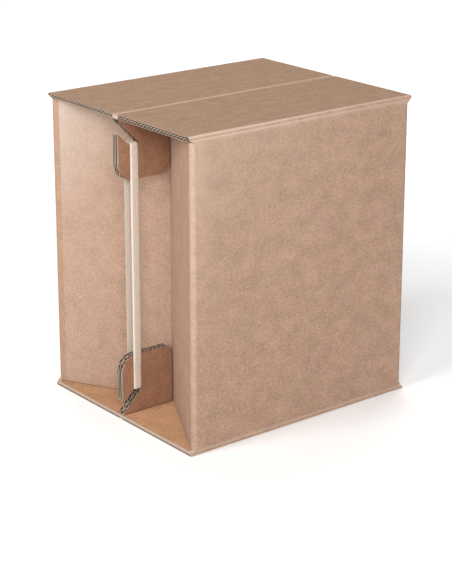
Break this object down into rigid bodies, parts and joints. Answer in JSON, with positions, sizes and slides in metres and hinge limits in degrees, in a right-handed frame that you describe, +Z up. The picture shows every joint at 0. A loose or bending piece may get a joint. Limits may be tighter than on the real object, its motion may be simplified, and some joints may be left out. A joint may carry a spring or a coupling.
{
  "type": "cardboard cajon",
  "caption": "Folding box drum of corrugated board: creased panels, gusset sides that fold inwards, and hook tabs with elastic bands that pull it up square.",
  "frame": {"origin": "centre of the base's footprint, on the floor", "axes": "+X to the right seen from the front, -Y out of the playing face, +Z up through the seat"},
  "size_m": [0.31, 0.262, 0.35],
  "materials": {
    "kraft_board": "plain brown kraft liner, matt",
    "kraft_tab": "plain brown kraft liner, matt, inner side",
    "elastic_band": "cream elastic, matt"
  },
  "bodies": {
    "rear_panel": {"rear_panel": "kraft_board"},
    "seat_rear": {"seat_rear": "kraft_board"},
    "upper_tabs": {"upper_left_tab_rear": "kraft_tab", "upper_left_tab_front": "kraft_tab", "upper_right_tab_rear": "kraft_tab", "upper_right_tab_front": "kraft_tab", "upper_glue_strip_rear": "kraft_tab", "upper_glue_strip_front": "kraft_tab", "elastic_band_left": "elastic_band", "elastic_band_right": "elastic_band"},
    "seat_front": {"seat_front": "kraft_board"},
    "front_panel": {"front_panel": "kraft_board"},
    "base_rear": {"base_rear": "kraft_board"},
    "lower_tabs": {"lower_left_tab_rear": "kraft_tab", "lower_left_tab_front": "kraft_tab", "lower_right_tab_rear": "kraft_tab", "lower_right_tab_front": "kraft_tab", "lower_glue_strip_rear": "kraft_tab", "lower_glue_strip_front": "kraft_tab"},
    "base_front": {"base_front": "kraft_board"},
    "left_flap_rear": {"left_flap_rear": "kraft_board"},
    "right_flap_rear": {"right_flap_rear": "kraft_board"},
    "left_flap_front": {"left_flap_front": "kraft_board"},
    "right_flap_front": {"right_flap_front": "kraft_board"}
  },
  "joints": [
    {"name": "fold", "type": "hinge", "parent": "rear_panel", "child": "seat_rear", "pos_m": [0, 0.13012, 0.34912], "axis": [-1, 0, 0], "range_deg": [0, 82], "stiffness_Nm_per_rad": 0.4, "springref_deg": -85.94, "deforming": ["elastic_band_left", "elastic_band_right"]},
    {"name": "seat_rear_crease", "type": "hinge", "parent": "seat_rear", "child": "upper_tabs", "pos_m": [0, 0.005, 0.345], "axis": [-1, 0, 0], "range_deg": [-82, 0]},
    {"name": "seat_front_crease", "type": "hinge", "parent": "upper_tabs", "child": "seat_front", "pos_m": [0, -0.005, 0.345], "axis": [-1, 0, 0], "range_deg": [-82, 0]},
    {"name": "front_top_fold", "type": "hinge", "parent": "seat_front", "child": "front_panel", "pos_m": [0, -0.13012, 0.34912], "axis": [-1, 0, 0], "range_deg": [0, 82]},
    {"name": "rear_base_fold", "type": "hinge", "parent": "rear_panel", "child": "base_rear", "pos_m": [0, 0.13012, 0.00088], "axis": [-1, 0, 0], "range_deg": [-82, 0]},
    {"name": "base_rear_crease", "type": "hinge", "parent": "base_rear", "child": "lower_tabs", "pos_m": [0, 0.005, 0.005], "axis": [-1, 0, 0], "range_deg": [0, 82]},
    {"name": "front_base_fold", "type": "hinge", "parent": "front_panel", "child": "base_front", "pos_m": [0, -0.13012, 0.00088], "axis": [-1, 0, 0], "range_deg": [0, 82]},
    {"name": "left_rear_gusset_fold", "type": "hinge", "parent": "rear_panel", "child": "left_flap_rear", "pos_m": [-0.146, 0.126, 0.175], "axis": [0, 0, 1], "range_deg": [0, 54.7]},
    {"name": "right_rear_gusset_fold", "type": "hinge", "parent": "rear_panel", "child": "right_flap_rear", "pos_m": [0.146, 0.126, 0.175], "axis": [0, 0, 1], "range_deg": [-54.7, 0]},
    {"name": "left_front_gusset_fold", "type": "hinge", "parent": "front_panel", "child": "left_flap_front", "pos_m": [-0.146, -0.126, 0.175], "axis": [0, 0, 1], "range_deg": [-54.7, 0]},
    {"name": "right_front_gusset_fold", "type": "hinge", "parent": "front_panel", "child": "right_flap_front", "pos_m": [0.146, -0.126, 0.175], "axis": [0, 0, 1], "range_deg": [0, 54.7]}
  ],
  "couplings": [
    {"joint": "seat_rear_crease", "follows": "fold", "ratio": -1},
    {"joint": "seat_front_crease", "follows": "fold", "ratio": -1},
    {"joint": "front_top_fold", "follows": "fold", "ratio": 1},
    {"joint": "rear_base_fold", "follows": "fold", "ratio": -1},
    {"joint": "base_rear_crease", "follows": "fold", "ratio": 1},
    {"joint": "front_base_fold", "follows": "fold", "ratio": 1},
    {"joint": "left_rear_gusset_fold", "follows": "fold", "ratio": 0.667},
    {"joint": "right_rear_gusset_fold", "follows": "fold", "ratio": -0.667},
    {"joint": "left_front_gusset_fold", "follows": "fold", "ratio": -0.667},
    {"joint": "right_front_gusset_fold", "follows": "fold", "ratio": 0.667}
  ]
}
